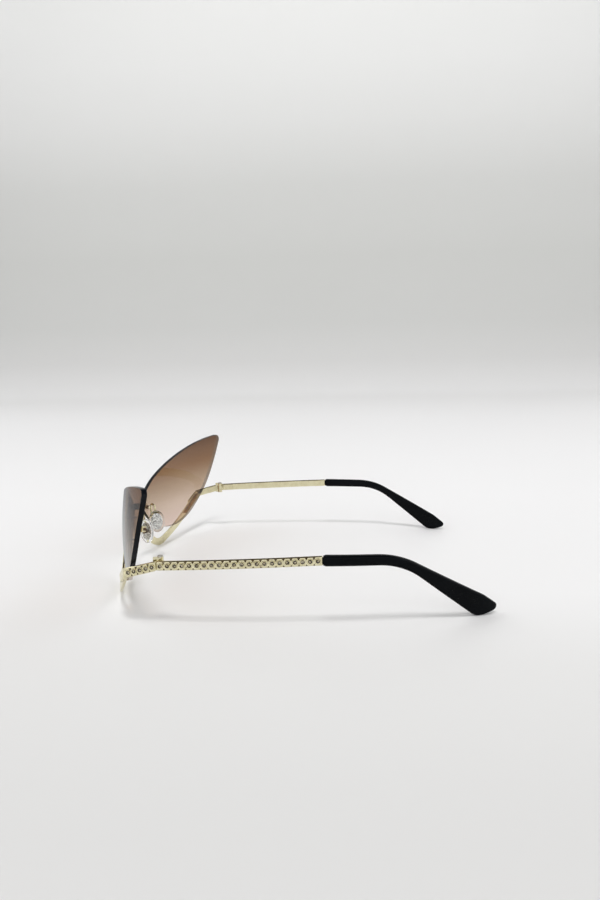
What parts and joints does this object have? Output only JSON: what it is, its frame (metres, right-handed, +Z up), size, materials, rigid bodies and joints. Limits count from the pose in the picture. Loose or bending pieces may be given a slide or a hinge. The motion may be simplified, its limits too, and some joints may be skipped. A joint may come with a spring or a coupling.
{
  "type": "butterfly sunglasses",
  "caption": "Butterfly sunglasses with wing lenses above open lower rims, stone-set folding metal temples, bent plastic tips and rocking nose pads.",
  "frame": {"origin": "on the surface that the open glasses stand on, under the middle of their outline", "axes": "+Z up, +X towards the wearer's left, -Y the way the lenses face, +Y along the temples to their tips"},
  "size_m": [0.1536, 0.1712, 0.0574],
  "materials": {
    "pale_gold": "polished pale gold plating",
    "fastener_steel": "small turned screws and nuts, darkened",
    "graded_lens": "clear lens plastic with a brown tint that fades downwards",
    "bond": "dark bonding strip",
    "clear_pad": "soft clear moulding",
    "clear_washer": "clear plastic washer",
    "black_tip": "glossy black moulding",
    "crystal": "faceted clear stone"
  },
  "bodies": {
    "front": {"left_rim": "pale_gold", "right_rim": "pale_gold", "bridge": "pale_gold", "left_endpiece": "pale_gold", "right_endpiece": "pale_gold", "left_front_hinge": "pale_gold", "right_front_hinge": "pale_gold", "left_pad_arm": "pale_gold", "right_pad_arm": "pale_gold", "left_pad_box": "pale_gold", "right_pad_box": "pale_gold", "lens_screws": "fastener_steel", "lens_nuts": "fastener_steel", "left_hinge_screw": "fastener_steel", "right_hinge_screw": "fastener_steel", "left_pad_screw": "fastener_steel", "right_pad_screw": "fastener_steel", "left_lens": "graded_lens", "right_lens": "graded_lens", "left_lens_bond": "bond", "right_lens_bond": "bond", "lens_washers": "clear_washer", "left_endpiece_stones": "crystal", "right_endpiece_stones": "crystal"},
    "left_temple": {"left_temple": "pale_gold", "left_temple_hinge": "pale_gold", "left_tip_sleeve": "black_tip", "left_temple_stones": "crystal"},
    "right_temple": {"right_temple": "pale_gold", "right_temple_hinge": "pale_gold", "right_tip_sleeve": "black_tip", "right_temple_stones": "crystal"},
    "left_pad": {"left_nose_pad": "clear_pad"},
    "right_pad": {"right_nose_pad": "clear_pad"}
  },
  "joints": [
    {"name": "left_fold", "type": "hinge", "parent": "front", "child": "left_temple", "pos_m": [0.06702, -0.05114, 0.025], "axis": [0, 0, 1], "range_deg": [0, 90]},
    {"name": "right_fold", "type": "hinge", "parent": "front", "child": "right_temple", "pos_m": [-0.06702, -0.05114, 0.025], "axis": [0, 0, -1], "range_deg": [0, 86]},
    {"name": "left_pad_rock", "type": "hinge", "parent": "front", "child": "left_pad", "pos_m": [0.01149, -0.07591, 0.02243], "axis": [-0.4067, -0.9135, 0], "range_deg": [-12, 12]},
    {"name": "right_pad_rock", "type": "hinge", "parent": "front", "child": "right_pad", "pos_m": [-0.01149, -0.07591, 0.02243], "axis": [-0.4067, 0.9135, 0], "range_deg": [-12, 12]}
  ]
}
